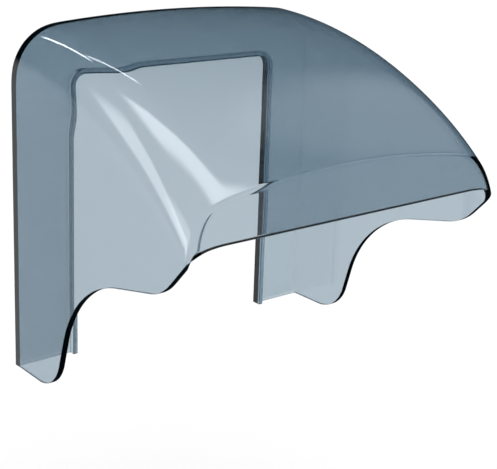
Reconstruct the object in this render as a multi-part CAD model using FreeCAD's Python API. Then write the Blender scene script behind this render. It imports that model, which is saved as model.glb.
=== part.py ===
import FreeCAD, Part
import math
import os

Vector = FreeCAD.Vector

# Splash hood for a wall socket, in millimetres. The hood is drawn with its back face at reach 0,
# where reach is the distance out from the wall (towards -Y), and with its feet at height 0.
# The finished pieces are then moved so that the wall is y = 0 and the origin is the centre of
# the socket plate that the hood goes round.

# Outer form
hood_width = 135.5
crown_height = 126.0          # top of the hood at the wall, on the centre line
crown_radius = 558.0          # the roof is crowned from side to side
rear_shoulder_radius = 19.0   # round corner between the roof and each side
front_shoulder_radius = 11.0  # it tightens along the front bend, to this at the end of the bend
wall_thickness = 2.3
roof_start_angle = 2.4        # slope of the roof at the wall, in degrees
roof_end_angle = 66.0         # slope where the faster bend ends, hidden beyond the apron

# Front apron
rim_reach = 102.9             # straight lower rim of the apron
rim_height = 71.8
rear_roof_radius = 1.74 * rim_reach     # the roof bends gently near the wall and faster near the front
front_roof_radius = 1.014 * rim_reach
roof_bend_reach = 0.732 * rim_reach     # where the gentle bend turns into the faster one
apron_tilt = 12.2             # degrees from the vertical
brow_radius = 4.2             # rounded fold that runs up one side of the apron, over it and down

# Wavy lower edge of both sides: four straight runs with an arc between each two
riser_foot_reach = 28.2       # where the line of the steep run meets the level of the feet
riser_angle = 74.0
lobe_reach = 80.0             # a point on the long shallow run
lobe_height = 53.0
lobe_angle = 12.5
tip_reach = 97.0              # a point on the run that climbs to the apron
tip_height = 62.5
tip_angle = 47.0
heel_radius = 15.0
waist_radius = 42.5
tip_radius = 20.0

# Where the side edges turn into the rim. Seen from the front, the rim falls away in a sloping
# run at each end, steeply at a station inside the apron and gently at one just outside it.
inner_station = 8.0           # how far inside the rim
outer_station = 2.0           # how far outside the rim
inner_rim_half_length = 59.0
outer_rim_half_length = 62.0
inner_rim_end_radius = 12.0
outer_rim_end_radius = 30.0

# Back plate and its raised lip round the socket opening
back_thickness = 2.0
opening_width = 88.0
top_band = 21.0               # back plate above the opening, on the centre line
opening_height = crown_height - top_band
opening_corner_radius = 4.5
lip_thickness = 1.9
lip_depth = 4.2

# Clear adhesive tape between the back plate and the wall
tape_thickness = 0.8
tape_margin = 1.0

# The socket plate that the hood goes round
plate_size = 86.0
plate_gap = 1.0

past = 20.0                   # how far cutting bodies run past the faces that they cut
touching = 0.001              # points closer than this are the same point
root_margin = 1.0             # overlap below the shoulder, where roof and sides are joined


def side_point(reach, height):
    """A point on the middle plane, seen from the side."""
    return Vector(0.0, -reach, height)


def front_point(across, height):
    """A point on the plane of the wall, seen from the front."""
    return Vector(across, 0.0, height)


def on_line(point, angle, other, other_angle):
    """Where two sloping lines meet, each given by a reach and height and an angle in degrees."""
    slope = math.tan(math.radians(angle))
    other_slope = math.tan(math.radians(other_angle))
    reach = (other[1] - point[1] + slope * point[0] - other_slope * other[0]) / (slope - other_slope)
    return reach, point[1] + slope * (reach - point[0])


def straight_chain(points):
    """Straight edges from each point to the next."""
    return [Part.LineSegment(first, second).toShape() for first, second in zip(points, points[1:])]


def rounded_chain(points, radii):
    """Edges through the points, with an arc of the given radius at each inner point."""
    edges = []
    start = points[0]
    for corner, following, radius in zip(points[1:-1], points[2:], radii):
        back = (start - corner).normalize()
        ahead = (following - corner).normalize()
        half_angle = back.getAngle(ahead) / 2
        first = corner + back * (radius / math.tan(half_angle))
        last = corner + ahead * (radius / math.tan(half_angle))
        bisector = (back + ahead).normalize()
        middle = corner + bisector * (radius / math.sin(half_angle) - radius)
        edges.append(Part.LineSegment(start, first).toShape())
        edges.append(Part.Arc(first, middle, last).toShape())
        start = last
    edges.append(Part.LineSegment(start, points[-1]).toShape())
    return edges


def slab(edges, direction):
    """A solid from an outline of edges, which are closed by straight lines where they end."""
    ends = [edges[-1].Vertexes[-1].Point, edges[0].Vertexes[0].Point]
    if ends[0].distanceToPoint(ends[1]) > touching:
        edges = edges + [Part.LineSegment(ends[0], ends[1]).toShape()]
    return Part.Face(Part.Wire(edges)).extrude(direction)


def across_slab(edges):
    """An outline seen from the side, extended over more than the whole width."""
    solid = slab(edges, Vector(hood_width + 2 * past, 0, 0))
    solid.translate(Vector(-hood_width / 2 - past, 0, 0))
    return solid


def roof_arcs():
    """Centre, radius, start angle and end angle of the two arcs that the roof follows."""
    start = math.radians(roof_start_angle)
    rear_reach = -rear_roof_radius * math.sin(start)
    rear_height = crown_height - rear_roof_radius * math.cos(start)
    bend = math.asin((roof_bend_reach - rear_reach) / rear_roof_radius)
    shift = rear_roof_radius - front_roof_radius
    front_reach = rear_reach + shift * math.sin(bend)
    front_height = rear_height + shift * math.cos(bend)
    behind = -math.asin(past / rear_roof_radius)
    return (
        (rear_reach, rear_height, rear_roof_radius, behind, bend),
        (front_reach, front_height, front_roof_radius, bend, math.radians(roof_end_angle)),
    )


def root_depth():
    """How far below the crown the sides are already flat."""
    sag = crown_radius - math.sqrt(crown_radius ** 2 - (hood_width / 2) ** 2)
    return rear_shoulder_radius + sag + root_margin


def roof_section(radius, inset, shoulder):
    """Section standing on the axis of the bend: the crown, its shoulders and the top of both sides."""
    half_width = hood_width / 2 - inset
    crown = crown_radius - inset
    crown_centre = radius - inset - crown
    turn = math.asin((half_width - shoulder) / (crown - shoulder))
    shoulder_height = crown_centre + (crown - shoulder) * math.cos(turn)
    foot = radius - root_depth()
    level = math.pi / 2

    def crown_point(angle):
        return Vector(crown * math.sin(angle), 0, crown_centre + crown * math.cos(angle))

    def shoulder_point(side, angle):
        across = half_width - shoulder + shoulder * math.sin(angle)
        return Vector(side * across, 0, shoulder_height + shoulder * math.cos(angle))

    right, left = [], []
    if shoulder > 0:
        angles = [turn, (turn + level) / 2, level]
        right = [Part.Arc(*[shoulder_point(1, angle) for angle in angles]).toShape()]
        left = [Part.Arc(*[shoulder_point(-1, angle) for angle in reversed(angles)]).toShape()]
    crown_edge = Part.Arc(crown_point(-turn), crown_point(0), crown_point(turn)).toShape()
    feet = [Vector(half_width, 0, foot), Vector(-half_width, 0, foot)]
    sides = straight_chain([shoulder_point(1, level)] + feet + [shoulder_point(-1, level)])
    return Part.Face(Part.Wire([crown_edge] + right + sides + left))


def roof_sector(arc, inset, shoulder):
    """One bend of the roof with the upper part of its sides."""
    reach, height, radius, start, end = arc
    axis = Vector(1, 0, 0)
    section = roof_section(radius, inset, shoulder)
    section.rotate(Vector(0, 0, 0), axis, math.degrees(start))
    sector = section.revolve(Vector(0, 0, 0), axis, math.degrees(end - start))
    sector.translate(side_point(reach, height))
    return sector


def lower_body(inset):
    """The block between the flat sides, from below the roof down past the feet."""
    edges = []
    for reach, height, radius, start, end in roof_arcs():
        root = radius - root_depth()

        def root_point(angle):
            return side_point(reach + root * math.sin(angle), height + root * math.cos(angle))

        edges.append(Part.Arc(root_point(start), root_point((start + end) / 2), root_point(end)).toShape())
    back = edges[0].Vertexes[0].Point
    front = edges[-1].Vertexes[-1].Point
    brink = side_point(reach + radius * math.sin(end), height + radius * math.cos(end))
    bottom = -past
    edges += straight_chain([front, brink, Vector(0, brink.y, bottom), Vector(0, back.y, bottom), back])
    block = slab(edges, Vector(hood_width - 2 * inset, 0, 0))
    block.translate(Vector(-hood_width / 2 + inset, 0, 0))
    return block


def apron_reach(height, inset):
    """How far out the tilted plane of the apron is at a height."""
    tilt = math.radians(apron_tilt)
    return rim_reach - inset / math.cos(tilt) + (rim_height - height) * math.tan(tilt)


def apron_limit(inset, back_reach):
    """Everything between the back face and the tilted plane of the apron."""
    top = crown_height + past
    foot = rim_height - past
    corners = [
        side_point(back_reach, -2 * past),
        side_point(riser_foot_reach, -2 * past),
        side_point(apron_reach(foot, inset), foot),
        side_point(apron_reach(top, inset), top),
        side_point(back_reach, top),
    ]
    return across_slab(straight_chain(corners + corners[:1]))


def on_apron(edge, inset):
    """True for an edge of the apron's outline, apart from its bottom."""
    middle = edge.valueAt((edge.FirstParameter + edge.LastParameter) / 2)
    points = [vertex.Point for vertex in edge.Vertexes] + [middle]
    off_plane = max(abs(-point.y - apron_reach(point.z, inset)) for point in points)
    return off_plane < touching and middle.z > rim_height - past + touching


def front_shoulder_edges(sector, inset):
    """The two edges where the front bend of the roof meets the sides."""
    half_width = hood_width / 2 - inset
    foot = front_roof_radius - root_depth()
    found = []
    for edge in sector.Edges:
        start, end = [vertex.Point for vertex in edge.Vertexes]
        on_side = abs(abs(start.x) - half_width) < touching and abs(end.x - start.x) < touching
        if on_side and edge.Curve.TypeId == "Part::GeomCircle" and edge.Curve.Radius > foot + touching:
            found.append(edge)
    return found


def hood_body(inset, back_reach):
    """The hood as a full body, set in by the inset on every side but the back."""
    rear_arc, front_arc = roof_arcs()
    rear_radius = rear_shoulder_radius - inset
    rear = roof_sector(rear_arc, inset, rear_radius)
    front = roof_sector(front_arc, inset, 0.0)
    # the shoulder leaves the rear bend at its radius there, and tightens along the front bend
    shoulders = front_shoulder_edges(front, inset)
    front = front.makeFillet(rear_radius, front_shoulder_radius - inset, shoulders)
    body = rear.fuse([front, lower_body(inset)]).removeSplitter()
    body = body.common(apron_limit(inset, back_reach)).removeSplitter()
    brow = [edge for edge in body.Edges if on_apron(edge, inset)]
    return body.makeFillet(brow_radius - inset, brow)


def side_edge_cut():
    """Everything below the wavy lower edge of the sides."""
    riser = on_line((riser_foot_reach, 0.0), riser_angle, (lobe_reach, lobe_height), lobe_angle)
    tip = on_line((lobe_reach, lobe_height), lobe_angle, (tip_reach, tip_height), tip_angle)
    run_out = rim_reach + past
    climb = math.tan(math.radians(tip_angle))
    points = [
        side_point(-past, 0.0),
        side_point(riser_foot_reach, 0.0),
        side_point(*riser),
        side_point(*tip),
        side_point(run_out, tip_height + (run_out - tip_reach) * climb),
    ]
    edges = rounded_chain(points, [heel_radius, waist_radius, tip_radius])
    below = -2 * past
    edges += straight_chain([points[-1], side_point(run_out, below), side_point(-past, below), points[0]])
    return across_slab(edges)


def side_edge_height(reach):
    """Height of the climbing run of the side edge."""
    return tip_height + (reach - tip_reach) * math.tan(math.radians(tip_angle))


def rim_outline(reach, half_length, radius):
    """What is cut away below the rim at one station: flat in the middle, sloping to the side edge."""
    half_width = hood_width / 2
    slope = (rim_height - side_edge_height(reach)) / (half_width - half_length)
    far = half_width + past
    low = rim_height - (far - half_length) * slope
    points = [
        Vector(-far, -reach, low),
        Vector(-half_length, -reach, rim_height),
        Vector(half_length, -reach, rim_height),
        Vector(far, -reach, low),
    ]
    edges = rounded_chain(points, [radius, radius])
    floor = side_edge_height(rim_reach - inner_station) - 2 * past
    corners = [points[-1], Vector(far, -reach, floor), Vector(-far, -reach, floor), points[0]]
    return Part.Wire(edges + straight_chain(corners))


def rim_cut():
    """Everything below the rim at the apron, falling away to the side edges at both ends."""
    inner = rim_outline(rim_reach - inner_station, inner_rim_half_length, inner_rim_end_radius)
    outer = rim_outline(rim_reach + outer_station, outer_rim_half_length, outer_rim_end_radius)
    return Part.makeLoft([inner, outer], True, True)


def opening_outline(grow):
    """Arch round the socket plate, open at the bottom, with two rounded corners."""
    half = opening_width / 2 + grow
    top = opening_height + grow
    radius = opening_corner_radius + grow
    points = [
        front_point(-half, -past),
        front_point(-half, top),
        front_point(half, top),
        front_point(half, -past),
    ]
    return rounded_chain(points, [radius, radius])


def lip():
    """The raised lip that stands on the back plate round the opening."""
    band = slab(opening_outline(lip_thickness), Vector(0, -lip_depth, 0))
    floor = Part.makeBox(2 * hood_width, 2 * past, 2 * past, Vector(-hood_width, -past, -2 * past))
    return band.cut(floor)


def make_hood():
    """One moulding: roof, sides, apron, back plate and lip."""
    hood = hood_body(0.0, 0.0).cut(hood_body(wall_thickness, back_thickness))
    hood = hood.cut([side_edge_cut(), rim_cut()]).fuse(lip())
    socket_cut = slab(opening_outline(0.0), Vector(0, -lip_depth - 2 * past, 0))
    socket_cut.translate(Vector(0, past, 0))
    return hood.cut(socket_cut).removeSplitter()


def make_tape():
    """Flat band of clear tape that covers the back plate to just inside its edges."""
    rear_arc = roof_arcs()[0]
    band = roof_sector(rear_arc, tape_margin, rear_shoulder_radius - tape_margin)
    band = band.fuse(lower_body(tape_margin))
    sheet = Part.makeBox(
        2 * hood_width, tape_thickness, crown_height + 2 * past,
        Vector(-hood_width, 0, tape_margin),
    )
    band = band.common(sheet)
    hole = slab(opening_outline(tape_margin), Vector(0, 2 * past, 0))
    return band.cut(hole).removeSplitter()


def place(solid):
    """Bring a finished piece into the frame of the socket plate on the wall."""
    plate_centre = opening_height - plate_gap - plate_size / 2
    placed = solid.copy()
    placed.translate(Vector(0, -tape_thickness, -plate_centre))
    return placed


os.makedirs("parts", exist_ok=True)
pieces = {"hood": make_hood(), "adhesive_tape": make_tape()}
for name, solid in pieces.items():
    place(solid).exportStep("parts/" + name + ".step")
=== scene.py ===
import bpy
import math
from mathutils import Matrix, Vector


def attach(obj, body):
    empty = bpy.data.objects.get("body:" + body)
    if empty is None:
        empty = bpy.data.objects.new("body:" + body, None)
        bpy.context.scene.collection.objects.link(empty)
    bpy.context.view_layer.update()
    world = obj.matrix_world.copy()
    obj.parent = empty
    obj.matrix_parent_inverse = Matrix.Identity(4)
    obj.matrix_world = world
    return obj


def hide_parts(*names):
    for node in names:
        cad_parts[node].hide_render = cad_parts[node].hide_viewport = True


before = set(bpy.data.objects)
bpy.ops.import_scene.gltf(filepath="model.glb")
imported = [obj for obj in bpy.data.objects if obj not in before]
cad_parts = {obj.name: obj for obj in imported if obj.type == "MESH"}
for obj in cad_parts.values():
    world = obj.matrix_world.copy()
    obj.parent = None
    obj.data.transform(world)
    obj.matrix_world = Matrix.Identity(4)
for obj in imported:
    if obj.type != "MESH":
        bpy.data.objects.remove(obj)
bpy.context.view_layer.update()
mm = 0.001
print("frame loaded")

# the view: a camera a little above the hood and to its left, fitted to the hood's edges
viewpoint = {
    "place": (-256.5 * mm, -356.4 * mm, 119.8 * mm),
    "turn": 39.44,       # degrees to the right of straight at the wall
    "dip": 14.61,        # degrees below level
    "roll": 1.99,
    "lens": 85.13,       # millimetres, on a sensor 36 mm wide
    "sensor": 36.0,
    "shiftX": 0.0113,
    "shiftY": -0.1404,
    "clip": (0.01, 20.0),       # nearest and farthest metres that are drawn
}


def makeCamera(v):
    data = bpy.data.cameras.new("viewCamera")
    data.sensor_width = v["sensor"]
    data.lens = v["lens"]
    data.shift_x = v["shiftX"]
    data.shift_y = v["shiftY"]
    data.clip_start, data.clip_end = v["clip"]
    turn, dip, roll = (math.radians(v[k]) for k in ("turn", "dip", "roll"))
    ahead = Vector((math.sin(turn) * math.cos(dip), math.cos(turn) * math.cos(dip), -math.sin(dip)))
    across = Vector((math.cos(turn), -math.sin(turn), 0.0))
    up = across.cross(ahead)
    acrossR = across * math.cos(roll) + up * math.sin(roll)
    upR = up * math.cos(roll) - across * math.sin(roll)
    turned = Matrix((acrossR, upR, -ahead)).transposed().to_4x4()
    camera = bpy.data.objects.new("viewCamera", data)
    camera.matrix_world = Matrix.Translation(Vector(v["place"])) @ turned
    bpy.context.scene.collection.objects.link(camera)
    bpy.context.scene.camera = camera
    return camera


makeCamera(viewpoint)
print("camera placed")


# the hood's form in millimetres. Reach is the distance out from its back face,
# height is above its feet
hoodForm = {
    "halfWidth": 67.745,
    "height": 126.0,            # top of the roof at the wall
    "crownRadius": 558.0,       # the roof's crown from side to side
    "rearShoulder": 19.0,       # rounding between roof and sides at the wall
    "frontShoulder": 11.0,      # and where the front bend would end
    "shoulderEase": (1.25, 0.55, 0.36),     # how gently the rounding starts and ends
    "wall": 2.3,
    "rearBend": 179.046,
    "frontBend": 104.341,
    "roofSlope": 2.4,           # degrees, at the wall
    "bendReach": 75.323,        # where the rear bend turns into the front one
    "roofEnd": 66.0,            # degrees, beyond the apron
    "rimReach": 102.855,
    "rimHeight": 71.8,
    "apronTilt": 12.2,          # degrees from upright
    "brow": 4.2,                # rounded fold round the apron
    "foot": (28.2, 74.0),       # where the steep run starts, and its angle
    "lobe": (80.0, 53.0, 12.5),     # a point on the long run, and its angle
    "tip": (97.0, 62.5, 47.0),      # a point on the run up to the apron, and its angle
    "waveRadii": (15.0, 42.5, 20.0),
    "innerStation": (8.0, 59.0, 12.0),  # inside the rim: how far, half length, end rounding
    "outerStation": (-2.0, 62.0, 30.0),     # and outside it
    "back": 2.0,
    "opening": (88.0, 105.0, 4.5),      # width, height and corner radius
    "lip": (1.9, 4.2),                  # thickness, and how far it stands out from the wall
    "edge": 0.28,                       # rounding of all outer edges
    "lipFoot": 0.35,                    # hollow rounding where the lip meets the back plate
    "standOff": 0.83,                   # the tape behind it
    "centre": 60.999,                   # height of the socket plate's centre above the feet
}

# how finely the hood is drawn, as a number of faces. "step" is a length in millimetres
hoodGrain = {"crown": 28, "shoulder": 26, "corner": 5, "bend": 44, "brow": 14, "browDrop": 8,
             "rim": 90, "legs": 24, "edge": 5, "arc": 12, "step": 1.2}

# small lengths and angles that only help to work the form out
hoodLimits = {
    "tries": 14,            # steps at most when a meeting point is looked for
    "near": 1e-8,           # and how exact it has to be
    "nudge": 1e-4,          # step for the roof's slope
    "sideFrom": 1.999,      # from here on the roof's normal is the flat side's
    "same": 1e-6,           # corners closer than this are one corner
    "pastRim": 120.0,       # reach at which the last run of the wave ends
    "sideEnd": 0.3,         # room between the flat side's last point and the shoulder's first
    "easeIn": 2.0,          # length over which the lower edge's rounding grows
    "foldRoom": 0.03,       # the shoulder's even lines stop this much before the lower edge
    "sideRoom": 0.01,       # the flat side's lower points start this far past its back
    "lowRim": 40.0,         # the rim is looked for from this height,
    "highRim": 1.0,         # and up to this much over its middle
    "backAngle": -0.2,      # and the roof's back line from this slope, in radians
}


def smooth(x):
    x = min(max(x, 0.0), 1.0)
    return x * x * (3.0 - 2.0 * x)


def findRoot(f, low, high):
    # f rises from below zero at low to above zero at high. The end that stays put counts for
    # half as much at each step, so that the other end comes in as well
    under, over = f(low), f(high)
    for attempt in range(hoodLimits["tries"]):
        middle = (low * over - high * under) / (over - under)
        value = f(middle)
        if abs(value) < hoodLimits["near"]:
            return middle
        if value < 0.0:
            low, under = middle, value
            over *= 0.5
        else:
            high, over = middle, value
            under *= 0.5
    return middle


class Sheet:
    # faces with the exact normal of the form at every corner
    def __init__(self, standOff, centre):
        self.shift = (standOff, centre)
        self.points, self.faces, self.normals = [], [], []

    def place(self, p):
        return Vector((p[0], -(p[1] + self.shift[0]), p[2] - self.shift[1])) * mm

    def turn(self, n):
        return Vector((n[0], -n[1], n[2])).normalized()

    def facing(self, spots, ways):
        # above zero when the corners run the right way round for these normals
        across = Vector((0.0, 0.0, 0.0))
        for here, after in zip(spots, spots[1:] + spots[:1]):
            across += here.cross(after)
        return across.dot(sum(ways, Vector((0.0, 0.0, 0.0))))

    def add(self, patches):
        # patches that belong together are turned together, so that no small one faces the wrong way
        placed = [([self.place(p) for p in points], [self.turn(n) for n in normals])
                  for points, normals in patches]
        turned = sum(self.facing(*patch) for patch in placed) < 0.0
        for spots, ways in placed:
            if turned:
                spots.reverse()
                ways.reverse()
            first = len(self.points)
            self.points += spots
            self.faces.append(list(range(first, first + len(spots))))
            self.normals += ways

    def face(self, points, normals):
        self.add([(points, normals)])

    def grid(self, rows, ways):
        patches = []
        for r in range(len(rows) - 1):
            for c in range(len(rows[r]) - 1):
                kept = []
                for i, k in ((r, c), (r, c + 1), (r + 1, c + 1), (r + 1, c)):
                    if all((rows[i][k] - rows[a][b]).length > hoodLimits["same"] for a, b in kept):
                        kept.append((i, k))
                if len(kept) > 2:
                    patches.append(([rows[i][k] for i, k in kept], [ways[i][k] for i, k in kept]))
        self.add(patches)

    def build(self, name):
        data = bpy.data.meshes.new(name)
        data.from_pydata(self.points, [], self.faces)
        data.polygons.foreach_set("use_smooth", [True] * len(self.faces))
        data.normals_split_custom_set(self.normals)
        data.update()
        piece = bpy.data.objects.new(name, data)
        bpy.context.scene.collection.objects.link(piece)
        return piece


def makeHood(f, grain, limits):
    h, wall, brow, edge, back = f["halfWidth"], f["wall"], f["brow"], f["edge"], f["back"]
    crown = f["crownRadius"]
    ease, easeStart, easeEnd = f["shoulderEase"]
    slope, last, tilt = (math.radians(f[k]) for k in ("roofSlope", "roofEnd", "apronTilt"))
    sheet = Sheet(f["standOff"], f["centre"])

    # the roof's two bends
    rear = (-f["rearBend"] * math.sin(slope), f["height"] - f["rearBend"] * math.cos(slope))
    bend = math.asin((f["bendReach"] - rear[0]) / f["rearBend"])
    step = f["rearBend"] - f["frontBend"]
    front = (rear[0] + step * math.sin(bend), rear[1] + step * math.cos(bend))

    def roofPoint(q, u):
        # q runs from -2 at the left side over 0 on the crown to 2 at the right side, with the
        # shoulders beyond -1 and 1. u is the slope angle
        centre, radius, shoulder = rear, f["rearBend"], f["rearShoulder"]
        if u > bend:
            centre, radius = front, f["frontBend"]
            shoulder += (f["frontShoulder"] - shoulder) * smooth((u - bend) / (last - bend))
        shoulder *= ease
        turn = math.asin((h - shoulder) / (crown - shoulder))
        a = abs(q)
        if a <= 1.0:
            x = crown * math.sin(a * turn)
            high = radius - crown + crown * math.cos(a * turn)
        else:
            # a curve of the fifth degree between the two tangents, with no curvature at its ends
            t, v = a - 1.0, 2.0 - a
            reach = shoulder * math.tan(math.pi / 4 - turn / 2)
            along = v ** 5 + 5 * v ** 4 * t * easeStart + 10 * v ** 3 * t * t * easeEnd
            down = t ** 5 + 5 * t ** 4 * v * easeStart + 10 * t ** 3 * v * v * easeEnd
            low = radius - crown + (crown - shoulder) * math.cos(turn)
            x = h - reach * along * math.cos(turn)
            high = low + reach * (1.0 - down + along * math.sin(turn))
        x = x if q > 0 else -x
        return Vector((x, centre[0] + high * math.sin(u), centre[1] + high * math.cos(u)))

    def roofNormal(q, u):
        d = limits["nudge"]
        if abs(q) > limits["sideFrom"]:
            return Vector((1.0 if q > 0 else -1.0, 0.0, 0.0))
        along = roofPoint(q, u + d) - roofPoint(q, u - d)
        over = roofPoint(q + d, u) - roofPoint(q - d, u)
        n = along.cross(over).normalized()
        return n if n.dot(Vector((q * 0.5, math.sin(u), math.cos(u)))) > 0 else -n

    # the apron's plane
    apron = Vector((0.0, math.cos(tilt), math.sin(tilt)))
    apronDepth = f["rimReach"] * apron[1] + f["rimHeight"] * apron[2]

    def apronReach(z):
        return (apronDepth - z * apron[2]) / apron[1]

    def browStart(q):
        # where a line over the roof meets the brow: slope angle, centre of the fold, roof's normal
        def past(u):
            return (roofPoint(q, u) - roofNormal(q, u) * brow).dot(apron) - apronDepth + brow
        u = findRoot(past, bend, last)
        n = roofNormal(q, u)
        return u, roofPoint(q, u) - n * brow, n

    def fan(n, part):
        # direction from the fold's centre, from the roof's normal to the apron's
        whole = n.angle(apron)
        return (n * math.sin((1 - part) * whole) + apron * math.sin(part * whole)) / math.sin(whole)

    parts = [i / grain["brow"] for i in range(grain["brow"] + 1)]

    # the wavy lower edge of the sides, as reach and height
    def meet(p, pAngle, r, rAngle):
        a, b = math.tan(math.radians(pAngle)), math.tan(math.radians(rAngle))
        reach = (r[1] - p[1] + a * p[0] - b * r[0]) / (a - b)
        return Vector((reach, p[1] + a * (reach - p[0])))

    climb = math.tan(math.radians(f["tip"][2]))
    knees = [Vector((edge, 0.0)), Vector((f["foot"][0], 0.0)),
             meet((f["foot"][0], 0.0), f["foot"][1], f["lobe"], f["lobe"][2]),
             meet(f["lobe"], f["lobe"][2], f["tip"], f["tip"][2]),
             Vector((limits["pastRim"], f["tip"][1] + (limits["pastRim"] - f["tip"][0]) * climb))]
    wave = [knees[0]]
    for knee, after, radius in zip(knees[1:-1], knees[2:], f["waveRadii"]):
        behind = (wave[-1] - knee).normalized()
        ahead = (after - knee).normalized()
        half = behind.angle(ahead) / 2
        first = knee + behind * (radius / math.tan(half))
        bisector = (behind + ahead).normalized()
        middle = knee + bisector * (radius / math.sin(half))
        count = int((first - wave[-1]).length / grain["step"]) + 1
        wave += [wave[-1].lerp(first, i / count) for i in range(1, count + 1)]
        sweep = math.pi - 2 * half
        side = 1.0 if (knee - first).cross(ahead) > 0 else -1.0
        count = max(int(radius * sweep / grain["step"]), grain["arc"])
        for i in range(1, count + 1):
            a = side * sweep * i / count
            arm = first - middle
            wave.append(middle + Vector((arm[0] * math.cos(a) - arm[1] * math.sin(a),
                                         arm[0] * math.sin(a) + arm[1] * math.cos(a))))

    # where the rim falls away into the side edges
    def rimDrop(x, station):
        inside, half, radius = station
        low = f["tip"][1] + (f["rimReach"] - inside - f["tip"][0]) * climb
        fall = (f["rimHeight"] - low) / (h - half)
        angle = math.atan(fall)
        start = half - radius * math.tan(angle / 2)
        if x < start:
            return 0.0
        if x < start + radius * math.sin(angle):
            return radius - math.sqrt(radius * radius - (x - start) ** 2)
        return fall * (x - half)

    def cutHeight(x, reach):
        inside, outside = f["innerStation"][0], f["outerStation"][0]
        part = (reach - f["rimReach"] + inside) / (inside - outside)
        drops = [rimDrop(abs(x), f[k]) for k in ("innerStation", "outerStation")]
        return f["rimHeight"] - drops[0] - (drops[1] - drops[0]) * part

    # the whole lower edge, from the left foot round the front to the right foot:
    # flat side, shoulder, brow, then the rim of the apron
    side = Vector((1.0, 0.0, 0.0))
    folds = []
    for part in parts:
        def below(q):
            u, c, n = browStart(q)
            p = c + fan(n, part) * brow
            return cutHeight(p[0], p[1]) - p[2]
        q = findRoot(below, 1.0, 2.0)
        u, c, n = browStart(q)
        folds.append((q, c + fan(n, part) * brow, fan(n, part)))
    lastRoof = folds[0][0]
    turns = []
    for i in range(grain["corner"]):
        q = 2.0 + (lastRoof - 2.0) * i / grain["corner"]

        def under(u):
            x, reach, height = roofPoint(q, u)
            return cutHeight(x, reach) - height
        u = findRoot(under, bend, browStart(q)[0])
        turns.append((roofPoint(q, u), roofNormal(q, u)))
    rightEdge = []
    for i in range(grain["edge"] + 1):
        a = math.pi / 2 * i / grain["edge"]
        rightEdge.append((Vector((h - edge + edge * math.sin(a), edge - edge * math.cos(a), 0.0)),
                          Vector((math.sin(a), -math.cos(a), 0.0)), 0.0))
    sideEnd = turns[0][0][1] - limits["sideEnd"]
    rightEdge += [(Vector((h, p[0], p[1])), side, 0.0) for p in wave[1:] if p[0] < sideEnd]
    flat = len(rightEdge)
    rightEdge += [(p, n, 0.0) for p, n in turns]
    fold = len(rightEdge)
    rightEdge += [(p, n, smooth(part)) for part, (q, p, n) in zip(parts, folds)]
    rim = len(rightEdge) - 1
    farX = folds[-1][1][0]
    highRim = f["rimHeight"] + limits["highRim"]
    for i in range(1, grain["rim"] // 2 + 1):
        x = farX * (1 - 2.0 * i / grain["rim"])
        z = findRoot(lambda z: z - cutHeight(x, apronReach(z)), limits["lowRim"], highRim)
        rightEdge.append((Vector((x, apronReach(z), z)), apron, 1.0))
    mirror = Vector((-1.0, 1.0, 1.0))
    lower = [(p * mirror, n * mirror, k) for p, n, k in rightEdge] + rightEdge[:-1][::-1]

    # the edge face from the outer skin to the inner one, rounded at both sides
    rims = []
    for i, (p, n, k) in enumerate(lower):
        before, after = lower[max(i - 1, 0)][0], lower[min(i + 1, len(lower) - 1)][0]
        down = n.cross(after - before).normalized()
        within = p - n * wall - down * (wall * math.tan(tilt) * k)
        if p[1] <= edge:
            within = Vector((math.copysign(h - wall, p[0]), p[1], 0.0))
            down = Vector((0.0, 0.0, -1.0))
        outerRound = edge * smooth((p[1] - edge) / limits["easeIn"])
        innerRound = edge * smooth((p[1] - back) / limits["easeIn"])
        across = (within - p).normalized()
        spots, ways = [], []
        for j in range(grain["edge"] + 1):
            a = math.pi / 2 * j / grain["edge"]
            spots.append(p + across * (outerRound * (1 - math.cos(a)))
                         - down * (outerRound * (1 - math.sin(a))))
            ways.append(down * math.sin(a) - across * math.cos(a) if outerRound > 0 else down)
        for j in range(grain["edge"] + 1):
            a = math.pi / 2 * (1 - j / grain["edge"])
            spots.append(within - across * (innerRound * (1 - math.cos(a)))
                         - down * (innerRound * (1 - math.sin(a))))
            ways.append(down * math.sin(a) + across * math.cos(a) if innerRound > 0 else down)
        rims.append((spots, ways))
    sheet.grid([spots for spots, ways in rims], [ways for spots, ways in rims])

    # each skin of the shell: roof, brow, apron and the two flat sides
    backLines = []
    count = len(lower)
    for skin, depth, begin, sign in ((0, 0.0, edge, 1.0), (-1, wall, back, -1.0)):
        radius = brow - depth
        rimEnds = [rims[count - 1 - fold - i][0][skin] for i in range(len(parts))]
        reaches = []
        for part, end in zip(parts, rimEnds):
            def lowerThan(q):
                u, c, n = browStart(q)
                return end[2] - (c + fan(n, part) * radius)[2]
            reaches.append(findRoot(lowerThan, 1.0, 2.0))
        inside = min(reaches) - limits["foldRoom"]
        middle = [i / grain["crown"] for i in range(grain["crown"])]
        middle += [1.0 + (inside - 1.0) * i / grain["shoulder"]
                   for i in range(grain["shoulder"] + 1)]
        drops = [i / grain["browDrop"] for i in range(1, grain["browDrop"] + 1)]
        starts = [browStart(q) for q in middle]

        # brow: one row for each part of the fold, from the crown to the right end
        rows, ways = [], []
        for part, end, far in zip(parts, rimEnds, reaches):
            line = [browStart(inside + (far - inside) * d) for d in drops]
            dirs = [fan(n, part) for u, c, n in starts + line]
            spots = [c + n * radius for (u, c, way), n in zip(starts + line, dirs)]
            spots[-1] = end
            rows.append([p * mirror for p in spots[:0:-1]] + spots)
            ways.append([n * mirror * sign for n in dirs[:0:-1]] + [n * sign for n in dirs])
        sheet.grid(rows, ways)

        # roof: one line from the back to the brow, or to the lower edge, for each station
        def skinPoint(q, u):
            return roofPoint(q, u) - roofNormal(q, u) * depth

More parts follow.
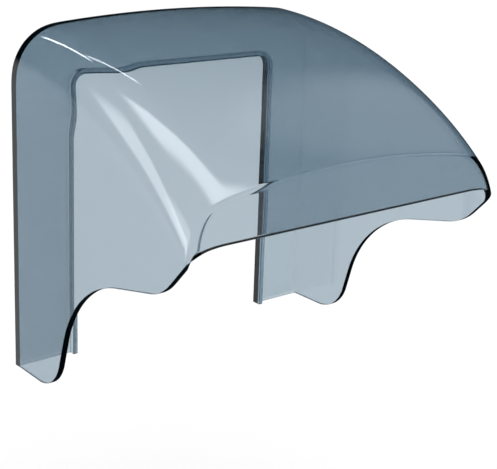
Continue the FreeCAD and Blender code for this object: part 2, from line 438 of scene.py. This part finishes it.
        qs = middle + [inside + (reaches[0] - inside) * d for d in drops]
        finish = [(rows[0][len(rows[0]) // 2 + i], browStart(q)[0]) for i, q in enumerate(qs)]
        for i in range(grain["corner"] - 1, -1, -1):
            q = reaches[0] + (2.0 - reaches[0]) * (1 - i / grain["corner"])
            end = rims[count - 1 - flat - i][0][skin]
            u = findRoot(lambda u: end[2] - skinPoint(q, u)[2], bend, last)
            qs.append(q)
            finish.append((end, u))
        lines, lineWays = [], []
        for q, (end, stop) in zip(qs, finish):
            start = findRoot(lambda u: skinPoint(q, u)[1] - begin, limits["backAngle"], bend)
            angles = [start + (bend - start) * i / grain["bend"] for i in range(grain["bend"])]
            angles += [bend + (stop - bend) * i / grain["bend"] for i in range(grain["bend"] + 1)]
            dirs = [roofNormal(q, u) for u in angles]
            lines.append([roofPoint(q, u) - n * depth for u, n in zip(angles, dirs)][:-1] + [end])
            lineWays.append(dirs)
        lines = [[p * mirror for p in line] for line in lines[:0:-1]] + lines
        lineWays = [[n * mirror for n in way] for way in lineWays[:0:-1]] + lineWays
        sheet.grid(lines, [[n * sign for n in way] for way in lineWays])

        # apron
        rimLine = [rims[i][0][skin] for i in range(rim + 1, count - rim - 1)]
        ring = rows[-1] + rimLine[::-1]
        sheet.face(ring, [apron * sign] * len(ring))

        # flat sides, from the back along the lower edge to the shoulder and back
        for s in (-1.0, 1.0):
            marks = [i if s < 0 else count - 1 - i for i in range(flat)]
            bottom = [rims[i][0][skin] for i in marks]
            bottom = [p for p in bottom if p[1] > begin + limits["sideRoom"]]
            start = Vector((s * (h - depth), begin, 0.0))
            line = lines[0 if s < 0 else -1]
            rise = [Vector((start[0], begin, line[0][2] * i / grain["legs"]))
                    for i in range(1, grain["legs"])]
            ring = [start] + bottom + line[::-1] + rise[::-1]
            sheet.face(ring, [side * s * sign] * len(ring))
        backLines.append((lines, lineWays))
    outer, inner = backLines

    # the back: rounded outer edge, rear face, front face of the plate, and the opening's lip
    def backLine(skin, x, reach):
        lines, ways = skin
        high = lines[0][0][2]
        rise = [Vector((-x, reach, high * i / grain["legs"])) for i in range(grain["legs"])]
        fall = [p * mirror for p in rise[::-1]]
        return (rise + [line[0] for line in lines] + fall,
                [-side] * len(rise) + [way[0] for way in ways] + [side] * len(fall))

    outerBack, outerWays = backLine(outer, h, edge)
    innerBack = backLine(inner, h - wall, back)[0]
    flatWays = [Vector((n[0], 0.0, n[2])).normalized() for n in outerWays]
    out = Vector((0.0, 1.0, 0.0))
    rows, ways = [], []
    for i in range(grain["edge"] + 1):
        a = math.pi / 2 * i / grain["edge"]
        rows.append([p - n * (edge * (1 - math.cos(a))) - out * (edge * math.sin(a))
                     for p, n in zip(outerBack, flatWays)])
        ways.append([n * math.cos(a) - out * math.sin(a) for n in flatWays])
    sheet.grid(rows, ways)

    width, height, radius = f["opening"]
    arcSteps = grain["shoulder"]        # round each corner of the opening
    legs = [i / grain["legs"] for i in range(grain["legs"])]
    half = [(Vector((width / 2, 0.0, (height - radius) * i)), side) for i in legs]
    for i in range(arcSteps + 1):
        a = math.pi / 2 * i / arcSteps
        n = Vector((math.cos(a), 0.0, math.sin(a)))
        half.append((Vector((width / 2 - radius, 0.0, height - radius)) + n * radius, n))
    tops = len(outerBack) // 2 + 1 - len(half)
    over = Vector((0.0, 0.0, 1.0))
    half += [(Vector(((width / 2 - radius) * (1 - i / tops), 0.0, height)), over)
             for i in range(1, tops + 1)]
    ring = [(p * mirror, n * mirror) for p, n in half] + half[:-1][::-1]
    thick, lipReach = f["lip"]
    hollow = f["lipFoot"]
    profile = []
    for cx, cy, r, begin in ((edge, edge, edge, 270.0), (edge, lipReach - edge, edge, 180.0),
                             (thick - edge, lipReach - edge, edge, 90.0)):
        for i in range(grain["edge"] + 1):
            a = math.radians(begin - 90.0 * i / grain["edge"])
            profile.append((cx + r * math.cos(a), cy + r * math.sin(a), math.cos(a), math.sin(a)))
    for i in range(grain["edge"] + 1):
        a = math.radians(180.0 + 90.0 * i / grain["edge"])
        profile.append((thick + hollow + hollow * math.cos(a), back + hollow + hollow * math.sin(a),
                        -math.cos(a), -math.sin(a)))
    rows = [[p + n * g + out * reach for p, n in ring] for g, reach, gn, rn in profile]
    ways = [[n * gn + out * rn for p, n in ring] for g, reach, gn, rn in profile]
    sheet.grid(rows, ways)
    rear = [p - n * edge - out * edge for p, n in zip(outerBack, flatWays)]
    sheet.grid([rear, rows[0]], [[-out] * len(rear)] * 2)
    sheet.grid([innerBack, rows[-1]], [[out] * len(innerBack)] * 2)
    for end, x in ((0, -h + wall), (-1, h - wall)):
        foot = [row[end] for row in rows] + [Vector((x, back, 0.0)), Vector((x, 0.0, 0.0))]
        sheet.face(foot, [-over] * len(foot))
    return sheet.build("hoodShell")


def newMaterial(name):
    material = bpy.data.materials.new(name)
    material.use_nodes = True
    nodes = material.node_tree.nodes
    nodes.clear()
    output = nodes.new("ShaderNodeOutputMaterial")
    return material, nodes, material.node_tree.links, output


# the hood's clear smoke-grey plastic
hoodPlastic = {
    "ior": 1.55,
    "roughness": 0.0,
    "tint": (0.20, 0.37, 0.477),      # colour that the plastic lets through
    "density": 418.0,                 # how fast it darkens with depth, per metre
    "waviness": 0.02,                 # faint flow ripple of the moulding
    "waveScale": 18.0,
    "waveDetail": 1.0,
    "waveDepth": 1.0 * mm,
}


def makeHoodPlastic(p):
    material, nodes, links, output = newMaterial("smokeClearPlastic")
    shader = nodes.new("ShaderNodeBsdfPrincipled")
    shader.inputs["Base Color"].default_value = (1.0, 1.0, 1.0, 1.0)
    shader.inputs["Roughness"].default_value = p["roughness"]
    shader.inputs["IOR"].default_value = p["ior"]
    shader.inputs["Transmission Weight"].default_value = 1.0
    place = nodes.new("ShaderNodeTexCoord")
    ripple = nodes.new("ShaderNodeTexNoise")
    ripple.inputs["Scale"].default_value = p["waveScale"]
    ripple.inputs["Detail"].default_value = p["waveDetail"]
    bump = nodes.new("ShaderNodeBump")
    bump.inputs["Strength"].default_value = p["waviness"]
    bump.inputs["Distance"].default_value = p["waveDepth"]
    links.new(place.outputs["Object"], ripple.inputs["Vector"])
    links.new(ripple.outputs["Fac"], bump.inputs["Height"])
    links.new(bump.outputs["Normal"], shader.inputs["Normal"])
    depth = nodes.new("ShaderNodeVolumeAbsorption")
    depth.inputs["Color"].default_value = (*p["tint"], 1.0)
    depth.inputs["Density"].default_value = p["density"]
    links.new(shader.outputs["BSDF"], output.inputs["Surface"])
    links.new(depth.outputs["Volume"], output.inputs["Volume"])
    return material


# the clear double-sided tape on the back, with a few fine bubbles under it
tapeFilm = {
    "tint": (0.97, 0.985, 0.99),
    "gloss": 0.04,               # share of light that the film mirrors
    "roughness": 0.12,
    "bubbleScale": 900.0,        # cells to the metre
    "bubbleSize": 0.30,          # how far out each bubble spreads, as a share of its cell
    "bubbleGloss": 0.25,
}


def makeTapeFilm(p):
    material, nodes, links, output = newMaterial("clearTapeFilm")
    clear = nodes.new("ShaderNodeBsdfTransparent")
    clear.inputs["Color"].default_value = (*p["tint"], 1.0)
    gloss = nodes.new("ShaderNodeBsdfGlossy")
    gloss.inputs["Roughness"].default_value = p["roughness"]
    place = nodes.new("ShaderNodeTexCoord")
    bubbles = nodes.new("ShaderNodeTexVoronoi")
    bubbles.inputs["Scale"].default_value = p["bubbleScale"]
    spread = nodes.new("ShaderNodeMapRange")
    spread.inputs["From Min"].default_value = 0.0
    spread.inputs["From Max"].default_value = p["bubbleSize"]
    spread.inputs["To Min"].default_value = p["bubbleGloss"]
    spread.inputs["To Max"].default_value = p["gloss"]
    film = nodes.new("ShaderNodeMixShader")
    links.new(place.outputs["Object"], bubbles.inputs["Vector"])
    links.new(bubbles.outputs["Distance"], spread.inputs["Value"])
    links.new(spread.outputs["Result"], film.inputs["Fac"])
    links.new(clear.outputs["BSDF"], film.inputs[1])
    links.new(gloss.outputs["BSDF"], film.inputs[2])
    links.new(film.outputs["Shader"], output.inputs["Surface"])
    return material


def dress(node, material):
    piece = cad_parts[node]
    piece.data.materials.clear()
    piece.data.materials.append(material)
    return piece


plastic = makeHoodPlastic(hoodPlastic)
shell = makeHood(hoodForm, hoodGrain, hoodLimits)
shell.data.materials.append(plastic)
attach(shell, "root")
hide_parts("hood")
dress("adhesive_tape", makeTapeFilm(tapeFilm))
print("pieces dressed")


# the white room, seen straight and through the plastic
room = {
    "seen": 1.0,
    "lit": 0.75,          # how bright it is where it lights rough surfaces
    "mirrored": 0.03,     # how bright it is in mirror reflections, away from the panels below
    "mirrorTint": (0.45, 0.80, 1.0),    # and its colour there
    "glowTint": (0.93, 0.97, 1.0),      # colour of the panels
}

# soft panels and strips that only show as reflections. "towards" is the direction of the middle,
# where a panel or strip starts to show at the cosine "from" and is full after "fade" more.
# "plane" is the normal of the plane that a strip lies in, "half" its half width,
# and "soft" how it fades out below and above the plane
panels = {
    "leftGlow": {"towards": (-0.55, 0.70, -0.45), "from": 0.72, "fade": 0.12, "strength": 0.72},
    "roofSky": {"towards": (0.76, 0.08, 0.645), "from": 0.94, "fade": 0.045, "strength": 0.66},
    "frontWall": {"towards": (0.68, -0.73, 0.04), "from": 0.955, "fade": 0.03, "strength": 0.62},
    "browStrip": {"plane": (-0.30, 0.36, 0.88), "half": 0.015, "soft": (0.05, 0.05),
                  "towards": (0.60, -0.65, 0.47), "from": 0.80, "fade": 0.14, "strength": 2.0},
    "topStrip": {"plane": (0.707, 0.707, 0.0), "half": 0.09, "soft": (0.20, 0.07),
                 "towards": (0.10, -0.06, 0.993), "from": 0.80, "fade": 0.10, "strength": 5.6},
    "leftStrip": {"plane": (-0.05, -0.85, 0.53), "half": 0.09, "soft": (0.10, 0.06),
                  "towards": (-0.86, 0.26, 0.44), "from": 0.855, "fade": 0.10, "strength": 4.2},
    "leftEnd": {"towards": (-0.93, 0.05, 0.36), "from": 0.955, "fade": 0.035, "strength": 3.0},
    "lineLamp": {"plane": (1.0, 0.0, 0.02), "half": 0.014, "soft": (0.012, 0.012),
                 "towards": (0.0, 0.70, 0.714), "from": 0.986, "fade": 0.009, "strength": 11.0},
    "lineLampEnd": {"plane": (0.574, 0.634, -0.52), "half": 0.004, "soft": (0.02, 0.02),
                    "towards": (0.17, 0.52, 0.837), "from": 0.980, "fade": 0.012, "strength": 8.0},
}


def makeWorld(r, shapes):
    world = bpy.data.worlds.new("whiteRoom")
    bpy.context.scene.world = world
    world.use_nodes = True
    nodes = world.node_tree.nodes
    links = world.node_tree.links
    nodes.clear()

    def background(strength):
        node = nodes.new("ShaderNodeBackground")
        node.inputs["Color"].default_value = (1.0, 1.0, 1.0, 1.0)
        node.inputs["Strength"].default_value = strength
        return node

    def along(vector, name):
        node = nodes.new("ShaderNodeVectorMath")
        node.operation = "DOT_PRODUCT"
        node.label = name
        node.inputs[1].default_value = Vector(vector).normalized()
        links.new(look.outputs["Generated"], node.inputs[0])
        return node.outputs["Value"]

    def ease(value, low, high):
        node = nodes.new("ShaderNodeMapRange")
        node.interpolation_type = "SMOOTHSTEP"
        node.inputs["From Min"].default_value = low
        node.inputs["From Max"].default_value = high
        node.inputs["To Min"].default_value = 0.0
        node.inputs["To Max"].default_value = 1.0
        links.new(value, node.inputs["Value"])
        return node.outputs["Result"]

    def join(operation, first, second):
        node = nodes.new("ShaderNodeMath")
        node.operation = operation
        for socket, value in zip(node.inputs, (first, second)):
            if isinstance(value, float):
                socket.default_value = value
            else:
                links.new(value, socket)
        return node.outputs["Value"]

    look = nodes.new("ShaderNodeTexCoord")
    total = None
    for name, p in shapes.items():
        glow = ease(along(p["towards"], name), p["from"], p["from"] + p["fade"])
        if "plane" in p:
            off = along(p["plane"], name)
            glow = join("MULTIPLY", glow, ease(off, -p["half"] - p["soft"][0], -p["half"]))
            past = ease(off, p["half"], p["half"] + p["soft"][1])
            glow = join("MULTIPLY", glow, join("SUBTRACT", 1.0, past))
        glow = join("MULTIPLY", glow, p["strength"])
        total = glow if total is None else join("ADD", total, glow)

    glows, dim = background(1.0), background(r["mirrored"])
    glows.inputs["Color"].default_value = (*r["glowTint"], 1.0)
    links.new(total, glows.inputs["Strength"])
    dim.inputs["Color"].default_value = (*r["mirrorTint"], 1.0)
    mirrored = nodes.new("ShaderNodeAddShader")
    links.new(glows.outputs["Background"], mirrored.inputs[0])
    links.new(dim.outputs["Background"], mirrored.inputs[1])
    lit, seen = background(r["lit"]), background(r["seen"])
    path = nodes.new("ShaderNodeLightPath")
    through = join("MAXIMUM", path.outputs["Is Camera Ray"], path.outputs["Is Transmission Ray"])
    reflect, whole = nodes.new("ShaderNodeMixShader"), nodes.new("ShaderNodeMixShader")
    links.new(path.outputs["Is Glossy Ray"], reflect.inputs["Fac"])
    links.new(lit.outputs["Background"], reflect.inputs[1])
    links.new(mirrored.outputs["Shader"], reflect.inputs[2])
    links.new(through, whole.inputs["Fac"])
    links.new(reflect.outputs["Shader"], whole.inputs[1])
    links.new(seen.outputs["Background"], whole.inputs[2])
    output = nodes.new("ShaderNodeOutputWorld")
    links.new(whole.outputs["Shader"], output.inputs["Surface"])


makeWorld(room, panels)
print("room ready")

# the pale floor and the soft light over it, which together come out white away from the shadow
studio = {
    "floorDrop": 0.32,         # metres from the socket plate's centre down to the floor
    "floorSize": 16.0,         # and from side to side
    "floorColour": (0.9, 0.9, 0.9),
    "light": 1.42,             # strength
    "lightSpread": 40.0,       # degrees, for a soft shadow
    "lightTurn": (28.0, -18.0, 0.0),        # degrees from straight down
}


def makeStudio(s):
    half = s["floorSize"] / 2
    data = bpy.data.meshes.new("floor")
    corners = [(-half, -half, 0.0), (half, -half, 0.0), (half, half, 0.0), (-half, half, 0.0)]
    data.from_pydata(corners, [], [(0, 1, 2, 3)])
    floor = bpy.data.objects.new("floor", data)
    floor.location = (0.0, 0.0, -s["floorDrop"])
    bpy.context.scene.collection.objects.link(floor)
    material, nodes, links, output = newMaterial("paleFloor")
    matt = nodes.new("ShaderNodeBsdfDiffuse")
    matt.inputs["Color"].default_value = (*s["floorColour"], 1.0)
    clear = nodes.new("ShaderNodeBsdfTransparent")
    path = nodes.new("ShaderNodeLightPath")
    # mirror reflections look past the floor to the room's panels
    passing = nodes.new("ShaderNodeMath")
    passing.operation = "SUBTRACT"
    passing.use_clamp = True
    links.new(path.outputs["Is Glossy Ray"], passing.inputs[0])
    links.new(path.outputs["Is Transmission Ray"], passing.inputs[1])
    whole = nodes.new("ShaderNodeMixShader")
    links.new(passing.outputs["Value"], whole.inputs["Fac"])
    links.new(matt.outputs["BSDF"], whole.inputs[1])
    links.new(clear.outputs["BSDF"], whole.inputs[2])
    links.new(whole.outputs["Shader"], output.inputs["Surface"])
    data.materials.append(material)

    sun = bpy.data.lights.new("softLight", "SUN")
    sun.energy = s["light"]
    sun.angle = math.radians(s["lightSpread"])
    lamp = bpy.data.objects.new("softLight", sun)
    lamp.rotation_euler = [math.radians(a) for a in s["lightTurn"]]
    lamp.visible_glossy = False
    lamp.visible_transmission = False
    bpy.context.scene.collection.objects.link(lamp)


makeStudio(studio)
print("floor and light ready")

bpy.context.scene.view_settings.view_transform = "Standard"
